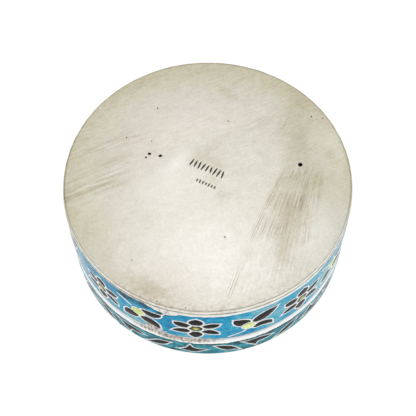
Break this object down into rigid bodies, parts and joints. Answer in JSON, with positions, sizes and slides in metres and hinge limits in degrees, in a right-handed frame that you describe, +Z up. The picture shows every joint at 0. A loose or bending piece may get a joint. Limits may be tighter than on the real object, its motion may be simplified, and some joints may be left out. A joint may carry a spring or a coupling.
{
  "type": "enamel box",
  "caption": "Low round silver trinket box with enamelled floral walls and a lift-off lid, turned over with its plain underside up.",
  "frame": {"origin": "centre of the lid's outer face, which the turned-over box stands on", "axes": "+Z up along the axis of the round box, out through the plain underside of the base; -Y faces the camera of the picture, +X to its right"},
  "size_m": [0.05, 0.05, 0.0195],
  "materials": {
    "silver_underside": "worn satin silver with scratches and warm tarnish",
    "silver_base": "satin silver, tarnished along the seam",
    "enamel_turquoise": "glossy turquoise glass enamel with black petals in silver outlines",
    "silver_lid": "satin silver, bright along the rim",
    "enamel_teal": "glossy teal glass enamel with black leaves in silver outlines",
    "enamel_lid_face": "glossy teal glass enamel"
  },
  "bodies": {
    "root": {"base_underside_plate": "silver_underside", "base_wall": "silver_base", "base_enamel_band": "enamel_turquoise", "lid_shell": "silver_lid", "lid_enamel_band": "enamel_teal", "lid_face_enamel": "enamel_lid_face"}
  },
  "joints": []
}
